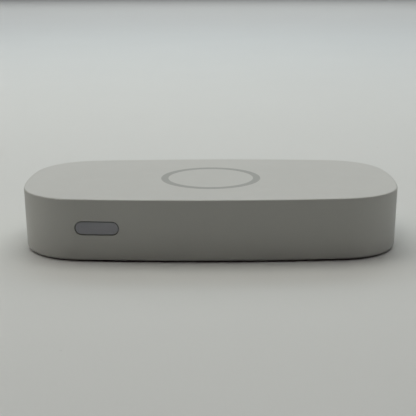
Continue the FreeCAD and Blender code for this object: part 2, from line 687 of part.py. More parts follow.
def reset_switch_dome():
    """The thin snap dome behind the plunger, a shallow dish that stands on its rim."""
    sheet, middle = 0.06, DOME_RADIUS * 0.6
    under = [(0, DOME_HEIGHT - sheet), (middle, 0.09), (DOME_RADIUS, 0)]
    dish = turned(under + [(r, z + sheet) for r, z in under[::-1]])
    dish.rotate(Vector(0, 0, 0), Vector(1, 0, 0), -90)
    dish.translate(Vector(BUTTON_X, PLUNGER_BACK - DOME_ROOM, PORT_Z))
    return dish


def reset_switch_bracket():
    """The steel plate over the switch's face, with two legs down through the board."""
    low = (BUTTON_X - SWITCH_HALF, SWITCH_FRONT, BOARD_TOP + 0.4)
    high = (BUTTON_X + SWITCH_HALF, SWITCH_FRONT + BRACKET_SHEET, PORT_Z + SWITCH_HALF)
    plate = box(low, high)
    legs = []
    for side in (-1, 1):
        inner = BUTTON_X + side * SWITCH_HALF
        left, right = sorted((inner, inner + side * BRACKET_SHEET))
        front = SWITCH_FRONT + BRACKET_SHEET
        legs.append(box((left, SWITCH_FRONT - 2.4, BOARD_TOP + 0.4), (right, front, PORT_Z + 2.0)))
        legs.append(box((left, SWITCH_FRONT - 2.2, LEG_BOTTOM), (right, SWITCH_FRONT - 1.2, BOARD_TOP + 0.5)))
    return fuse([plate] + legs).cut(button_rod(PLUNGER_RADIUS + 0.25, SWITCH_FRONT - 1, SWITCH_FRONT + 1))


# ---- Main board -------------------------------------------------------------------------------------------
def leg_slots():
    """Plated slots for the legs of the sockets and of the switch's bracket."""
    places = []
    for x in (-HDMI_X, HDMI_X):
        for side in (-1, 1):
            middle = x + side * (HDMI_HALF_WIDTH + SOCKET_SHEET / 2)
            places += [(middle, hdmi_mouth() - far) for far in HDMI_LEG_BACKS]
    for side in (-1, 1):
        middle = side * (USB_WIDTH / 2 + SOCKET_SHEET / 2)
        places += [(middle, usb_mouth() - far) for far in USB_LEG_BACKS]
        places.append((BUTTON_X + side * (SWITCH_HALF + BRACKET_SHEET / 2), SWITCH_FRONT - 1.7))
    return [flat_slot(x, y, 0.7, 1.6, BOARD_BOTTOM, BOARD_TOP) for x, y in places]


def boss_notch(x, y):
    """Room for a corner boss, open to the board's edge."""
    r = CORNER_PAD_RADIUS + 0.3
    notch = box((0, -r, BOARD_BOTTOM), (3 * r, r, BOARD_TOP))
    angle = math.degrees(math.atan2(TO_CORNER.y * math.copysign(1, y), TO_CORNER.x * math.copysign(1, x)))
    notch.rotate(Vector(0, 0, 0), Vector(0, 0, 1), angle)
    notch.translate(Vector(x, y, 0))
    return notch.fuse(rod(r, (x, y, BOARD_BOTTOM), (x, y, BOARD_TOP)))


PIN_HOLE_RADIUS = 1.6


def main_board():
    """The circuit board, cut to clear the bosses and the light seal, and pierced for pins, pegs and legs."""
    board = plan_block(BOARD_INSET, BOARD_BOTTOM, BOARD_TOP)
    seal_half = FLANGE_LENGTH / 2 + SEAL_WIDTH + 0.5
    low = (WINDOW_X - seal_half, -DEPTH / 2, BOARD_BOTTOM)
    seal_notch = box(low, (WINDOW_X + seal_half, SEAL_BACK + 0.3, BOARD_TOP))
    cuts = [boss_notch(x, y) for x, y in corner_points()] + leg_slots() + [seal_notch]
    holes = [(x, y, BOARD_SCREW["radius"] + 0.2) for x, y in BOARD_BOSSES]
    holes += [(x, y, PIN_HOLE_RADIUS) for x, y in HEATSINK_PINS]
    holes += [(x, y, PEG_RADIUS + 0.05) for x, y in PEG_PLACES]
    cuts += [rod(r, (x, y, BOARD_BOTTOM), (x, y, BOARD_TOP)) for x, y, r in holes]
    return board.cut(cuts)


# ---- Chips and small components ---------------------------------------------------------------------------
PROCESSOR_SIZE = 15.0
PROCESSOR_HEIGHT = 1.3


def processor():
    """The processor: a moulded cap on a wider laminate."""
    half, laminate_top = PROCESSOR_SIZE / 2, BOARD_TOP + 0.6
    cx, cy = PROCESSOR_CENTRE
    laminate = box((cx - half, cy - half, BOARD_TOP), (cx + half, cy + half, laminate_top))
    cap_size = (PROCESSOR_SIZE - 2, PROCESSOR_SIZE - 2)
    cap = chip(PROCESSOR_CENTRE, cap_size, laminate_top, BOARD_TOP + PROCESSOR_HEIGHT - laminate_top)
    return fuse([laminate, cap])


def memory_chips():
    return group([chip((-15.0, y), (11.0, 8.0), BOARD_TOP, 1.0) for y in (0.2, -10.2)])


def storage_chip():
    return chip((28.5, -6.0), (11.5, 13.0), BOARD_TOP, 1.0)


def line_driver_chips():
    """Three square chips between the sockets and the processor, one for each socket."""
    return group([chip((x, 10.0), (5.0, 5.0), BOARD_TOP, 0.85) for x in (-HDMI_X, 0.0, HDMI_X)])


def power_inductors():
    """Three moulded power inductors: a square block with eased corners and a sunken pair of ends."""
    places = [(42.5, -2.8), (42.5, 3.8), (26.5, -18.5)]
    made = []
    for x, y in places:
        block = chip((x, y), (5.4, 5.2), BOARD_TOP, 2.8, 0.5)
        ends = [box((x - 2.7, y - 1.2, BOARD_TOP), (x - 2.5, y + 1.2, BOARD_TOP + 0.9))]
        ends.append(box((x + 2.5, y - 1.2, BOARD_TOP), (x + 2.7, y + 1.2, BOARD_TOP + 0.9)))
        made.append(block.cut(ends))
    return group(made)


def power_regulators():
    places = [(37.0, -2.5), (33.5, -18.0), (37.0, 4.0)]
    return group([chip(place, (3.6, 3.6), BOARD_TOP, 0.9) for place in places])


def can_capacitors():
    """Two aluminium can capacitors: a can with a rolled neck on a square base with two corners cut."""
    made = []
    for x, y in ((-37.6, -11.2), (40.4, -9.4)):
        base = box((-3.3, -3.3, 0), (3.3, 3.3, 0.9))
        base = base.makeChamfer(1.1, [e for e in upright_edges(base) if e.Vertexes[0].X > 0])
        neck = [(3.1, 1.1), (3.1, 1.7), (2.85, 1.95), (3.1, 2.2)]
        can = turned([(0, 0.9), (2.9, 0.9)] + neck + [(3.1, 5.7), (2.8, 6.0), (0, 6.0)])
        made.append(fuse([base, can]))
        made[-1].translate(Vector(x, y, BOARD_TOP))
    return group(made)


def crystals():
    """Two clock crystals in low steel cans."""
    return group([chip(place, (3.2, 2.5), BOARD_TOP, 0.8, 0.3) for place in ((20.0, -8.5), (-27.5, 4.5))])


def chip_capacitors():
    """The small block capacitors and filters, in rows beside the chips that they serve."""
    rows = [((-23.5, 13.2), 4), ((16.5, 13.2), 4), ((22.5, -13.0), 3), ((-12.0, 9.0), 3), ((8.0, 9.0), 3)]
    rows += [((30.0, 4.5), 2), ((-41.0, 9.5), 3)]
    made = []
    for (x, y), count in rows:
        made += [chip((x + 2.2 * n, y), (1.6, 0.8), BOARD_TOP, 0.8, 0.1) for n in range(count)]
    return group(made)


# ---- Shield can, thermal pads and heatsink ----------------------------------------------------------------
SHIELD_SHEET = 0.25
SHIELD_TOP = BOARD_TOP + 1.7
LID_SHEET = 0.2
PAD_THICKNESS = 0.6
HEATSINK_BOTTOM = SHIELD_TOP + LID_SHEET + PAD_THICKNESS
HEATSINK_BASE = 1.5
HEATSINK_TOP = 15.0
FIN_PITCH, FIN_THICKNESS = 2.3, 0.9


def shield_block(grow, z_from, z_to):
    low = (SHIELD_LOW[0] - grow, SHIELD_LOW[1] - grow, z_from)
    return box(low, (SHIELD_HIGH[0] + grow, SHIELD_HIGH[1] + grow, z_to))


def shield_frame():
    """The fence soldered round the processor and memory, with a rim and one cross strip on top."""
    fence = shield_block(0, BOARD_TOP, SHIELD_TOP).cut(shield_block(-SHIELD_SHEET, BOARD_TOP, SHIELD_TOP))
    rim = shield_block(0, SHIELD_TOP - SHIELD_SHEET, SHIELD_TOP)
    rim = rim.cut(shield_block(-1.4, SHIELD_TOP - SHIELD_SHEET, SHIELD_TOP))
    strip = box((-8.2, SHIELD_LOW[1], SHIELD_TOP - SHIELD_SHEET), (-6.2, SHIELD_HIGH[1], SHIELD_TOP))
    return fuse([fence, rim, strip])


def shield_lid():
    """The pressed lid that clips over the fence."""
    lid = shield_block(0.05 + LID_SHEET, SHIELD_TOP - 1.1, SHIELD_TOP + LID_SHEET)
    upper = [e for e in lid.Edges if max(v.Z for v in e.Vertexes) > SHIELD_TOP]
    lid = lid.makeFillet(0.15, upper)
    return lid.cut(shield_block(0.05, SHIELD_TOP - 1.1, SHIELD_TOP))


def inner_thermal_pad():
    """The soft pad between the processor's cap and the shield's lid."""
    cx, cy = PROCESSOR_CENTRE
    half = PROCESSOR_SIZE / 2 - 1.4
    return box((cx - half, cy - half, BOARD_TOP + PROCESSOR_HEIGHT), (cx + half, cy + half, SHIELD_TOP))


def outer_thermal_pad():
    """The soft pad between the shield's lid and the heatsink."""
    low = (SHIELD_LOW[0] + 2, HEATSINK_LOW[1] + 1, SHIELD_TOP + LID_SHEET)
    return box(low, (SHIELD_HIGH[0] - 2, HEATSINK_HIGH[1] - 1, HEATSINK_BOTTOM))


def heatsink():
    """The extruded aluminium heatsink: a base with fins that run along the casing, cut away at the pins."""
    base = box((*HEATSINK_LOW, HEATSINK_BOTTOM), (*HEATSINK_HIGH, HEATSINK_BOTTOM + HEATSINK_BASE))
    count = int((HEATSINK_HIGH[1] - HEATSINK_LOW[1] - FIN_THICKNESS) / FIN_PITCH) + 1
    start = (HEATSINK_LOW[1] + HEATSINK_HIGH[1]) / 2 - (count - 1) * FIN_PITCH / 2
    fins = []
    for n in range(count):
        y = start + n * FIN_PITCH
        low = (HEATSINK_LOW[0], y - FIN_THICKNESS / 2, HEATSINK_BOTTOM + HEATSINK_BASE / 2)
        fins.append(box(low, (HEATSINK_HIGH[0], y + FIN_THICKNESS / 2, HEATSINK_TOP)))
    cuts = [rod(PIN_HOLE_RADIUS, (x, y, HEATSINK_BOTTOM - 1), (x, y, HEATSINK_TOP)) for x, y in HEATSINK_PINS]
    seat = HEATSINK_BOTTOM + HEATSINK_BASE
    for x, y in HEATSINK_PINS:
        room = 3.2
        cuts.append(box((x - room, y - room, seat), (x + room, y + room, HEATSINK_TOP + 1)))
    return fuse([base] + fins).cut(cuts)


PIN_HEAD_BOTTOM = HEATSINK_BOTTOM + HEATSINK_BASE + 3.0
SPRING_RADIUS, SPRING_WIRE, SPRING_PITCH = 1.85, 0.22, 0.85


def heatsink_pins():
    """The two push pins: a round head, a shaft and a split barb that springs out under the board."""
    made = []
    for x, y in HEATSINK_PINS:
        tip, head = BOARD_BOTTOM - 1.1, PIN_HEAD_BOTTOM
        barb = [(0, tip), (1.1, tip), (1.78, BOARD_BOTTOM - 0.15), (1.2, BOARD_BOTTOM - 0.05)]
        pin = turned(barb + [(1.2, head), (2.5, head), (2.5, head + 0.7), (2.2, head + 1.0), (0, head + 1.0)])
        pin = pin.cut(box((-0.3, -3, tip), (0.3, 3, BOARD_BOTTOM + 0.8)))
        pin.translate(Vector(x, y, 0))
        made.append(pin)
    return group(made)


def heatsink_springs():
    """The two coil springs that the pins hold down on the heatsink's base."""
    bottom = HEATSINK_BOTTOM + HEATSINK_BASE + SPRING_WIRE
    coil = Part.makeLongHelix(SPRING_PITCH, PIN_HEAD_BOTTOM - SPRING_WIRE - bottom, SPRING_RADIUS)
    along = Vector(0, 2 * math.pi * SPRING_RADIUS, SPRING_PITCH)
    section = Part.Wire([Part.makeCircle(SPRING_WIRE, Vector(SPRING_RADIUS, 0, 0), along)])
    made = []
    for x, y in HEATSINK_PINS:
        spring = Part.Wire(coil).makePipeShell([section], True, True)
        spring.translate(Vector(x, y, bottom))
        made.append(spring)
    return group(made)


# ---- Wireless parts ---------------------------------------------------------------------------------------
def wireless_module():
    """The radio module: a thin laminate under its own pressed shield."""
    cx, cy = -38.0, 0.5
    laminate = box((cx - 6, cy - 7, BOARD_TOP), (cx + 6, cy + 7, BOARD_TOP + 0.8))
    return fuse([laminate, chip((cx, cy), (11.2, 13.2), BOARD_TOP + 0.8, 1.2, 0.3)])


ANTENNA_X = 49.0
ANTENNA_SHEET = 0.3


def antennas():
    """Two stamped antennas, one at each end of the board: an upright plate with a slot, on two legs."""
    made = []
    for side in (-1, 1):
        x = side * ANTENNA_X
        low, high = x - ANTENNA_SHEET / 2, x + ANTENNA_SHEET / 2
        plate = box((low, -8, 9.0), (high, 8, 13.4))
        slot = box((x - 1, -5.5, 10.6), (x + 1, 9, 11.4))
        legs = [box((low, y, BOARD_TOP), (high, y + 1.2, 9.2)) for y in (-8, -4.6)]
        foot = box((x - 0.6, -8, BOARD_TOP), (x + 0.6, -3.4, BOARD_TOP + ANTENNA_SHEET))
        made.append(fuse([plate.cut(slot), foot] + legs))
    return group(made)


# ---- Every node, by name ----------------------------------------------------------------------------------
NODES = {
    "top_shell": top_shell,
    "bottom_cover": bottom_cover,
    "foot_ring": foot_ring,
    "rating_label": rating_label,
    "cover_screws": cover_screws,
    "board_screws": board_screws,
    "front_window": front_window,
    "light_seal": light_seal,
    "light_guide": light_guide,
    "status_lamps": status_lamps,
    "hdmi_out_shell": lambda: hdmi_shell(-HDMI_X),
    "hdmi_out_insulator": lambda: hdmi_insulator(-HDMI_X),
    "hdmi_out_contacts": lambda: hdmi_contacts(-HDMI_X),
    "hdmi_in_shell": lambda: hdmi_shell(HDMI_X),
    "hdmi_in_insulator": lambda: hdmi_insulator(HDMI_X),
    "hdmi_in_contacts": lambda: hdmi_contacts(HDMI_X),
    "usb_c_shell": usb_shell,
    "usb_c_insulator": usb_insulator,
    "usb_c_contacts": usb_contacts,
    "reset_button_cap": reset_button_cap,
    "reset_switch_plunger": reset_switch_plunger,
    "reset_switch_body": reset_switch_body,
    "reset_switch_dome": reset_switch_dome,
    "reset_switch_bracket": reset_switch_bracket,
    "main_board": main_board,
    "processor": processor,
    "memory_chips": memory_chips,
    "storage_chip": storage_chip,
    "line_driver_chips": line_driver_chips,
    "power_inductors": power_inductors,
    "power_regulators": power_regulators,
    "can_capacitors": can_capacitors,
    "crystals": crystals,
    "chip_capacitors": chip_capacitors,
    "shield_frame": shield_frame,
    "shield_lid": shield_lid,
    "inner_thermal_pad": inner_thermal_pad,
    "outer_thermal_pad": outer_thermal_pad,
    "heatsink": heatsink,
    "heatsink_pins": heatsink_pins,
    "heatsink_springs": heatsink_springs,
    "wireless_module": wireless_module,
    "antennas": antennas,
}


def main():
    os.makedirs("parts", exist_ok=True)
    for name, make in NODES.items():
        shape = make()
        solids = shape.Solids
        shape = solids[0] if len(solids) == 1 else Part.makeCompound(solids)
        shape.exportStep(os.path.join("parts", name + ".step"))
        state = "valid" if shape.isValid() else "NOT VALID"
        print(name, len(solids), "solids", round(shape.Volume, 1), "mm3", state)


main()
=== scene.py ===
import math

import bmesh
import bpy
from mathutils import Matrix, Vector
from mathutils.bvhtree import BVHTree


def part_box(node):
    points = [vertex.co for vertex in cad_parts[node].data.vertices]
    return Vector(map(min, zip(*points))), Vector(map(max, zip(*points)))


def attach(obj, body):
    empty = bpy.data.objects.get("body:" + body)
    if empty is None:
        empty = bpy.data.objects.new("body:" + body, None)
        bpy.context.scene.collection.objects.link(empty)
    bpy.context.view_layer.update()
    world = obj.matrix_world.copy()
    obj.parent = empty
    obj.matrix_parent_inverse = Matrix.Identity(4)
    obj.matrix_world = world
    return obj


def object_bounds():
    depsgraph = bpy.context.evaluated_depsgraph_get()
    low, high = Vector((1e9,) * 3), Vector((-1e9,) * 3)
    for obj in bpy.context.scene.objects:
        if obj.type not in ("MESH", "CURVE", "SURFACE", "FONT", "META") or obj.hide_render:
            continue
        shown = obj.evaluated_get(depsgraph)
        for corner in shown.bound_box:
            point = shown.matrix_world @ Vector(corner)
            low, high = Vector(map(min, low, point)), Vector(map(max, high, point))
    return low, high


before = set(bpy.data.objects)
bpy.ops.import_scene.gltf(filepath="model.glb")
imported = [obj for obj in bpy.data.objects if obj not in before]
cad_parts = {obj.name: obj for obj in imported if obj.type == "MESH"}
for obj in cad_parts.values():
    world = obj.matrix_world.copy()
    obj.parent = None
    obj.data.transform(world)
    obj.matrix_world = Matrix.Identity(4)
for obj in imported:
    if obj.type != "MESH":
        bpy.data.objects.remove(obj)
cad_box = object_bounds()


# ---- Casing -----------------------------------------------------------------------------------
# Lid and walls are one injection moulding in a white polycarbonate blend. The mould is
# spark-eroded, which gives a fine satin grain, and the tone drifts a little from place to place.
MM = 0.001
CASING_WHITE = (0.60, 0.607, 0.565)
CASING_PIT = 0.22 * MM
CASING_PIT_DEPTH = 0.006 * MM


def node(tree, kind, sockets=None, **settings):
    """A shader node whose sockets get plain values or, given another node's output, links."""
    made = tree.nodes.new("ShaderNode" + kind)
    for key, value in settings.items():
        setattr(made, key, value)
    for key, value in (sockets or {}).items():
        if isinstance(value, bpy.types.NodeSocket):
            tree.links.new(value, made.inputs[key])
        else:
            made.inputs[key].default_value = value
    return made


def blended(tree, share, first, second):
    """The colour between two colours, by a share from 0 to 1."""
    return node(tree, "Mix", {0: share, 6: first, 7: second}, data_type="RGBA").outputs[2]


def spread(tree, value, low, high, to_low, to_high):
    """A value moved from one range to another and held inside it."""
    ends = {"From Min": low, "From Max": high, "To Min": to_low, "To Max": to_high}
    return node(tree, "MapRange", {"Value": value, **ends}).outputs["Result"]


def worked(tree, operation, first, second=0.0):
    """One step of arithmetic on two values."""
    return node(tree, "Math", {0: first, 1: second}, operation=operation).outputs[0]


def noise(tree, place, per_metre, detail=2.0, roughness=0.5):
    """Noise from 0 to 1, with so many features in a metre."""
    sockets = {"Vector": place, "Scale": per_metre, "Detail": detail, "Roughness": roughness}
    return node(tree, "TexNoise", sockets).outputs["Fac"]


def effect(name, takes, gives):
    """An empty node group with named sockets: its tree, what it takes and what it gives."""
    tree = bpy.data.node_groups.new(name, "ShaderNodeTree")
    for label, kind in takes.items():
        tree.interface.new_socket(label, in_out="INPUT", socket_type="NodeSocket" + kind)
    for label, kind in gives.items():
        tree.interface.new_socket(label, in_out="OUTPUT", socket_type="NodeSocket" + kind)
    return tree, tree.nodes.new("NodeGroupInput").outputs, tree.nodes.new("NodeGroupOutput").inputs


def placed(tree, group, **sockets):
    """The outputs of a node group set in a material. An underscore stands for a space."""
    values = {key.replace("_", " "): value for key, value in sockets.items()}
    return node(tree, "Group", values, node_tree=group).outputs


def make_mould_grain():
    """The pits of a spark-eroded mould: small cells, roughened by finer noise."""
    takes = {"Place": "Vector", "Pits per metre": "Float"}
    tree, takes, gives = effect("mould_grain", takes, {"Height": "Float", "Fleck": "Float"})
    place, pits = takes["Place"], takes["Pits per metre"]
    cells = node(tree, "TexVoronoi", {"Vector": place, "Scale": pits}).outputs["Distance"]
    fine = noise(tree, place, worked(tree, "MULTIPLY", pits, 2.3), 3.0, 0.6)
    tree.links.new(worked(tree, "ADD", cells, fine), gives["Height"])
    tree.links.new(fine, gives["Fleck"])
    return tree


def make_clouding():
    """Slow drift of tone over a surface, and the smudges that handling leaves."""
    takes = {"Place": "Vector", "Patches per metre": "Float"}
    tree, takes, gives = effect("clouding", takes, {"Cloud": "Float", "Smudge": "Float"})
    place, patches = takes["Place"], takes["Patches per metre"]
    slow = noise(tree, place, patches)
    quick = noise(tree, place, worked(tree, "MULTIPLY", patches, 4.0), 5.0, 0.65)
    tree.links.new(spread(tree, slow, 0.3, 0.7, 0.0, 1.0), gives["Cloud"])
    tree.links.new(spread(tree, quick, 0.5, 0.72, 0.0, 1.0), gives["Smudge"])
    return tree


def make_edge_rub():
    """Sharp edges, found where a rounded normal leaves the true one, in worn patches."""
    takes = {"Place": "Vector", "Reach": "Float"}
    tree, takes, gives = effect("edge_rub", takes, {"Rub": "Float"})
    rounded = node(tree, "Bevel", {"Radius": takes["Reach"]}, samples=4).outputs["Normal"]
    facing = {0: rounded, 1: node(tree, "NewGeometry").outputs["Normal"]}
    alike = node(tree, "VectorMath", facing, operation="DOT_PRODUCT").outputs["Value"]
    near = spread(tree, alike, 0.99, 0.80, 0.0, 1.0)
    patchy = spread(tree, noise(tree, takes["Place"], 600.0, 3.0), 0.35, 0.6, 0.4, 1.0)
    tree.links.new(worked(tree, "MULTIPLY", near, patchy), gives["Rub"])
    return tree


mould_grain = make_mould_grain()
clouding = make_clouding()
edge_rub = make_edge_rub()


def new_material(name, fixed=None):
    """A material with a Principled shader: it, its tree, the shader and the surface's place."""
    made = bpy.data.materials.new(name)
    made.use_nodes = True
    tree = made.node_tree
    tree.nodes.clear()
    shader = node(tree, "BsdfPrincipled", fixed)
    node(tree, "OutputMaterial", {"Surface": shader.outputs["BSDF"]})
    return made, tree, shader.inputs, node(tree, "TexCoord").outputs["Object"]


def shade(colour, times):
    """A colour made lighter or darker."""
    return tuple(min(1.0, part * times) for part in colour) + (1.0,)


def moulded(name, colour, rough, pit, depth, cloudy=0.02, flecked=0.04, rubbed=0.0, fixed=None):
    """Moulded plastic or rubber. pit and depth are its grain's; the others are shares of tone."""
    made, tree, surface, place = new_material(name, fixed)
    grain = placed(tree, mould_grain, Place=place, Pits_per_metre=1 / pit)
    slow = placed(tree, clouding, Place=place, Patches_per_metre=28.0)
    tone = blended(tree, slow["Cloud"], shade(colour, 1 - cloudy), shade(colour, 1 + cloudy))
    fleck = worked(tree, "MULTIPLY", grain["Fleck"], flecked)
    tone = blended(tree, fleck, tone, shade(colour, 0.4))
    if rubbed:
        rub = placed(tree, edge_rub, Place=place, Reach=0.2 * MM)["Rub"]
        worn = tuple(part + (0.8 - part) * 0.35 for part in colour) + (1.0,)
        tone = blended(tree, worked(tree, "MULTIPLY", rub, rubbed), tone, worn)
    tree.links.new(tone, surface["Base Color"])
    handled = spread(tree, slow["Smudge"], 0.0, 1.0, rough, rough * 0.82)
    grainy = worked(tree, "MULTIPLY", grain["Fleck"], 0.06)
    tree.links.new(worked(tree, "ADD", handled, grainy), surface["Roughness"])
    bump = node(tree, "Bump", {"Height": grain["Height"], "Distance": depth})
    tree.links.new(bump.outputs["Normal"], surface["Normal"])
    return made


def dress(made, *names):
    """Gives CAD nodes their material."""
    for name in names:
        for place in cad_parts[name].material_slots:
            place.material = made


casing_white = moulded(
    "casing_white", CASING_WHITE, rough=0.46, pit=CASING_PIT, depth=CASING_PIT_DEPTH,
    cloudy=0.012, flecked=0.02,
)
dress(casing_white, "top_shell")


# ---- Printed marks ----------------------------------------------------------------------------
# A plain ring in the middle of the lid and an arrow over each HDMI socket, in or out, are
# pad-printed in matt grey ink. The ink is a thin film that takes the grain of the plastic.
INK_GREY = (0.39, 0.40, 0.37)
INK_THICKNESS = 0.02 * MM
INK_SINK = 0.004 * MM
INK_PIT_DEPTH = 0.004 * MM
RING_RADIUS = 15.2 * MM
RING_STROKE = 2.2 * MM
ARROW_RADIUS = 0.95 * MM
ARROW_BAR = (1.9 * MM, 0.4 * MM)
ARROW_RISE = 5.4 * MM  # of the arrow's middle over the socket's


def piece(name, bm, made, body="root", sharp_from=35.0):
    """A finished piece from a bmesh: outward faces, smooth up to an angle, on its body."""
    bmesh.ops.recalc_face_normals(bm, faces=bm.faces)
    mesh = bpy.data.meshes.new(name)
    bm.to_mesh(mesh)
    bm.free()
    mesh.shade_smooth()
    mesh.set_sharp_from_angle(angle=math.radians(sharp_from))
    mesh.materials.append(made)
    obj = bpy.data.objects.new(name, mesh)
    bpy.context.scene.collection.objects.link(obj)
    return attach(obj, body)


def new_corners(result):
    """The vertices that a bmesh operator has just made."""
    return [part for part in result["geom"] if isinstance(part, bmesh.types.BMVert)]


def drawn_up(bm):
    """A flat print drawn up along Z into a closed film."""
    top = new_corners(bmesh.ops.extrude_face_region(bm, geom=bm.faces[:]))
    bmesh.ops.translate(bm, verts=top, vec=(0, 0, INK_THICKNESS))
    return bm


def ring_print():
    """The plain ring, one flat band."""
    bm = bmesh.new()
    bmesh.ops.create_circle(bm, segments=192, radius=RING_RADIUS)
    inner = new_corners(bmesh.ops.extrude_edge_only(bm, edges=bm.edges[:]))
    shrink = 1 - RING_STROKE / RING_RADIUS
    bmesh.ops.scale(bm, verts=inner, vec=(shrink, shrink, 1))
    return drawn_up(bm)


def arrow_print(way):
    """An arrowhead over a bar, pointing away from the bar (1) or towards it (-1)."""
    bm = bmesh.new()
    head = bmesh.ops.create_circle(bm, segments=3, radius=ARROW_RADIUS, cap_ends=True)["verts"]
    bmesh.ops.rotate(bm, verts=head, matrix=Matrix.Rotation(math.radians(90 - 90 * way), 3, "Z"))
    bar = bmesh.ops.create_grid(bm, x_segments=1, y_segments=1, size=0.5)["verts"]
    bmesh.ops.scale(bm, verts=bar, vec=(*ARROW_BAR, 1))
    bmesh.ops.translate(bm, verts=bar, vec=(0, -1.5 * ARROW_RADIUS, 0))
    return drawn_up(bm)


casing_bvh = BVHTree.FromObject(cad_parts["top_shell"], bpy.context.evaluated_depsgraph_get())


def printed(name, bm, start, way):
    """Lays a print on the casing, where a ray from start first meets it."""
    spot, normal = casing_bvh.ray_cast(Vector(start), Vector(way))[:2]
    facing = normal.to_track_quat("Z", "Y").to_matrix().to_4x4()
    laid = Matrix.Translation(spot - normal * INK_SINK) @ facing
    bmesh.ops.transform(bm, matrix=laid, verts=bm.verts)
    return piece(name, bm, ink_grey)


ink_grey = moulded(
    "ink_grey", INK_GREY, rough=0.52, pit=CASING_PIT, depth=INK_PIT_DEPTH, flecked=0.06
)
printed("lid_ring", ring_print(), (0, 0, cad_box[1].z + 5 * MM), (0, 0, -1))
for socket, way in (("hdmi_out", 1), ("hdmi_in", -1)):
    low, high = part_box(socket + "_insulator")
    over = ((low.x + high.x) / 2, cad_box[1].y + 5 * MM, (low.z + high.z) / 2 + ARROW_RISE)
    printed(socket + "_arrow", arrow_print(way), over, (0, -1, 0))


# ---- Lit window -------------------------------------------------------------------------------
# A pill of milky acrylic fills the slot in the front wall, with a foam seal round its flange.
# Behind it a clear acrylic wedge stands on two pegs and spreads the light of three small lamps.
WINDOW_MILK = (0.377, 0.387, 0.42)


def milky_acrylic():
    """Milky moulded acrylic: satin, hardly grained, with faint flow marks along its length."""
    made, tree, surface, place = new_material("window_frosted", {"Coat Roughness": 0.2})
    slow = placed(tree, clouding, Place=place, Patches_per_metre=160.0)
    flow = node(tree, "Mapping", {"Vector": place, "Scale": (90.0, 900.0, 900.0)}).outputs[0]
    streak = noise(tree, flow, 1.0, 3.0)
    tone = blended(tree, slow["Cloud"], shade(WINDOW_MILK, 0.97), shade(WINDOW_MILK, 1.03))
    tone = blended(tree, worked(tree, "MULTIPLY", streak, 0.12), tone, shade(WINDOW_MILK, 0.75))
    tree.links.new(tone, surface["Base Color"])
    tree.links.new(spread(tree, slow["Smudge"], 0.0, 1.0, 0.34, 0.44), surface["Roughness"])
    tree.links.new(spread(tree, streak, 0.2, 0.8, 0.2, 0.35), surface["Coat Weight"])
    bump = node(tree, "Bump", {"Height": streak, "Distance": 0.002 * MM})
    tree.links.new(bump.outputs["Normal"], surface["Normal"])
    return made


def open_cell_foam():
    """Black foam: open cells with thin walls between them, and painted shade darkening the pores.
    """
    made, tree, surface, place = new_material("seal_foam")
    cells = {"Vector": place, "Scale": 1 / (0.18 * MM)}
    wall = node(tree, "TexVoronoi", cells, feature="DISTANCE_TO_EDGE").outputs["Distance"]
    shaded_pore = spread(tree, wall, 0.05, 0.3, 0.0, 1.0)
    # Painted shade: the open pores are coloured darker than the cell walls.
    tone = blended(tree, shaded_pore, (0.055, 0.055, 0.057, 1.0), (0.008, 0.008, 0.008, 1.0))
    tree.links.new(tone, surface["Base Color"])
    tree.links.new(spread(tree, shaded_pore, 0.0, 1.0, 0.75, 0.95), surface["Roughness"])
    bump = node(tree, "Bump", {"Height": shaded_pore, "Distance": 0.05 * MM}, invert=True)
    tree.links.new(bump.outputs["Normal"], surface["Normal"])
    return made


def clear_acrylic():
    """Clear moulded acrylic with faint flow lines."""
    glass = {"Transmission Weight": 1.0, "IOR": 1.49, "Metallic": 0.0}
    made, tree, surface, place = new_material("guide_clear", glass)
    slow = placed(tree, clouding, Place=place, Patches_per_metre=220.0)
    tone = blended(tree, slow["Cloud"], (0.93, 0.95, 0.96, 1.0), (0.97, 0.98, 0.98, 1.0))
    tree.links.new(tone, surface["Base Color"])
    tree.links.new(spread(tree, slow["Smudge"], 0.0, 1.0, 0.04, 0.16), surface["Roughness"])
    bump = node(tree, "Bump", {"Height": slow["Cloud"], "Distance": 0.004 * MM})
    tree.links.new(bump.outputs["Normal"], surface["Normal"])
    return made


def lamp_resin():
    """A lamp: white moulded body behind a face of yellow, grainy resin."""
    made, tree, surface, place = new_material("lamp_lens")
    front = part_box("status_lamps")[0].y
    depth = node(tree, "SeparateXYZ", {0: place}).outputs["Y"]
    face = spread(tree, depth, front + 0.05 * MM, front + 0.12 * MM, 1.0, 0.0)
    grain = placed(tree, mould_grain, Place=place, Pits_per_metre=1 / (0.05 * MM))
    resin = blended(tree, grain["Fleck"], (0.86, 0.66, 0.12, 1.0), (0.93, 0.80, 0.30, 1.0))
    body = blended(tree, grain["Fleck"], (0.80, 0.80, 0.78, 1.0), (0.86, 0.86, 0.84, 1.0))
    tree.links.new(blended(tree, face, body, resin), surface["Base Color"])
    tree.links.new(spread(tree, face, 0.0, 1.0, 0.5, 0.22), surface["Roughness"])
    bump = node(tree, "Bump", {"Height": grain["Height"], "Distance": 0.002 * MM})
    tree.links.new(bump.outputs["Normal"], surface["Normal"])
    return made


dress(milky_acrylic(), "front_window")
dress(open_cell_foam(), "light_seal")
dress(clear_acrylic(), "light_guide")
dress(lamp_resin(), "status_lamps")


# ---- Underside --------------------------------------------------------------------------------
# A dark grey moulded cover closes the casing from below. A rubber ring is pressed into its groove,
# a blank film label lies in its pocket, and four black zinc screws hold it.
COVER_GREY = (0.16, 0.16, 0.165)
RUBBER_BLACK = (0.05, 0.05, 0.052)
ZINC_BLACK = (0.22, 0.22, 0.23)
WORN_ZINC = (0.55, 0.55, 0.54)
LABEL_FILM = (0.62, 0.63, 0.62)
LABEL_BORDER_INSET = 1.2 * MM
LABEL_BORDER_LINE = 0.25 * MM


